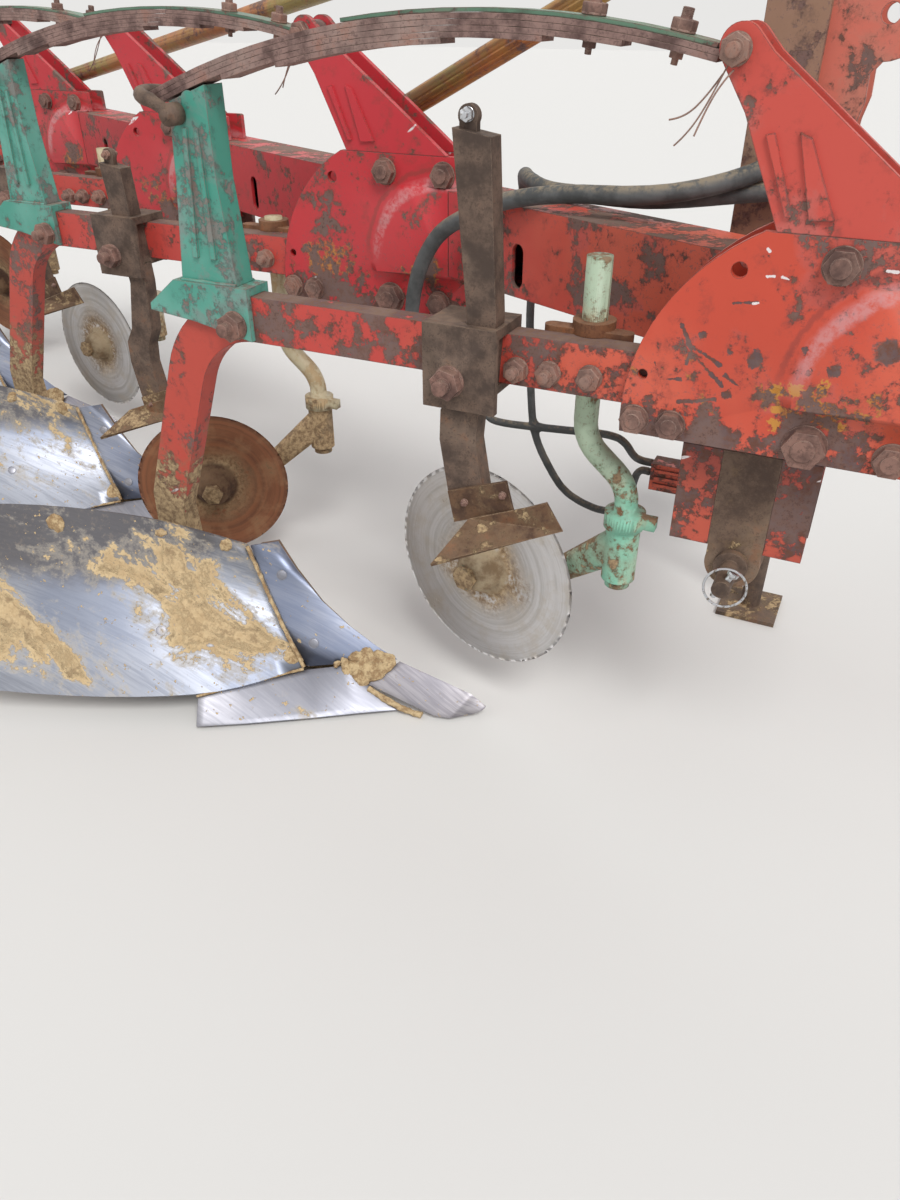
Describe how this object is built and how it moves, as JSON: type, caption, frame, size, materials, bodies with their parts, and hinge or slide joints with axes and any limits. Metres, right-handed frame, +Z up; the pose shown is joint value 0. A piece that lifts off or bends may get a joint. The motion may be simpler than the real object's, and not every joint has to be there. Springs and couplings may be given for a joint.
{
  "type": "moldboard plough",
  "caption": "Mounted four-furrow moldboard plough with leaf-spring trip beams, swivelling disc coulters, skimmers, headstock with mast and a sliding parking stand",
  "frame": {"origin": "on the ground under the middle of the plough's bounding box", "axes": "+X is the direction of travel, +Y the land side (left when looking forward), +Z up"},
  "size_m": [4.676, 2.0694, 1.47],
  "materials": {
    "red_paint": "satin",
    "faded_red_paint": "matte",
    "ochre_paint": "matte",
    "green_paint": "satin",
    "teal_paint": "satin",
    "mint_paint": "satin",
    "rusty_steel": "rough",
    "spring_steel": "satin",
    "worn_steel": "satin",
    "polished_steel": "polished",
    "black_rubber": "matte"
  },
  "bodies": {
    "plough": {"frame_beam": "red_paint", "cross_beam": "red_paint", "hitch_brackets": "red_paint", "hitch_blocks": "rusty_steel", "hitch_pins": "worn_steel", "mast_posts": "rusty_steel", "mast_plates": "faded_red_paint", "mast_stays": "ochre_paint", "head_plates": "red_paint", "spring_arms": "red_paint", "head_bolts": "rusty_steel", "body_beams": "red_paint", "leaf_springs": "spring_steel", "spring_plates": "green_paint", "spring_pins": "rusty_steel", "spring_shackles": "rusty_steel", "spring_struts": "teal_paint", "strut_saddles": "teal_paint", "legs": "red_paint", "frogs": "rusty_steel", "mouldboards": "polished_steel", "shins": "polished_steel", "shares": "polished_steel", "points": "polished_steel", "landsides": "worn_steel", "board_stays": "rusty_steel", "skimmer_clamps": "rusty_steel", "skimmer_shanks": "rusty_steel", "skimmer_blades": "rusty_steel", "coulter_clamps": "rusty_steel", "coulter_stems": "mint_paint", "hoses": "black_rubber", "stand_socket": "red_paint"},
    "parking_stand": {"stand_leg": "rusty_steel"},
    "coulter_arm_1": {"coulter_arm_1": "mint_paint"},
    "coulter_disc_1": {"coulter_disc_1": "worn_steel"},
    "coulter_arm_2": {"coulter_arm_2": "mint_paint"},
    "coulter_disc_2": {"coulter_disc_2": "worn_steel"},
    "coulter_arm_3": {"coulter_arm_3": "mint_paint"},
    "coulter_disc_3": {"coulter_disc_3": "worn_steel"},
    "coulter_arm_4": {"coulter_arm_4": "mint_paint"},
    "coulter_disc_4": {"coulter_disc_4": "worn_steel"}
  },
  "joints": [
    {"name": "coulter_1_swivel", "type": "hinge", "parent": "plough", "child": "coulter_arm_1", "pos_m": [1.77512, -0.38325, 0.42], "axis": [0, 0, 1], "range_deg": [-20, 19]},
    {"name": "disc_1_spin", "type": "hinge", "parent": "coulter_arm_1", "child": "coulter_disc_1", "pos_m": [1.50945, -0.34312, 0.299], "axis": [0.2588, 0.9659, 0], "continuous": true},
    {"name": "coulter_2_swivel", "type": "hinge", "parent": "plough", "child": "coulter_arm_2", "pos_m": [0.92512, 0.02276, 0.337], "axis": [0, 0, 1], "range_deg": [-3, 26]},
    {"name": "disc_2_spin", "type": "hinge", "parent": "coulter_arm_2", "child": "coulter_disc_2", "pos_m": [0.72054, -0.15142, 0.216], "axis": [-0.5592, 0.829, 0], "continuous": true},
    {"name": "coulter_3_swivel", "type": "hinge", "parent": "plough", "child": "coulter_arm_3", "pos_m": [0.07512, 0.42875, 0.38], "axis": [0, 0, 1], "range_deg": [-25, 14]},
    {"name": "disc_3_spin", "type": "hinge", "parent": "coulter_arm_3", "child": "coulter_disc_3", "pos_m": [-0.19303, 0.44557, 0.259], "axis": [0.1736, 0.9848, 0], "continuous": true},
    {"name": "coulter_4_swivel", "type": "hinge", "parent": "plough", "child": "coulter_arm_4", "pos_m": [-0.77488, 0.83476, 0.4], "axis": [0, 0, 1], "range_deg": [-32, 7]},
    {"name": "disc_4_spin", "type": "hinge", "parent": "coulter_arm_4", "child": "coulter_disc_4", "pos_m": [-1.04309, 0.81877, 0.279], "axis": [0.0523, 0.9986, 0], "continuous": true},
    {"name": "stand_lift", "type": "slide", "parent": "plough", "child": "parking_stand", "axis": [0, 0, 1], "range_m": [0, 0.45]}
  ]
}
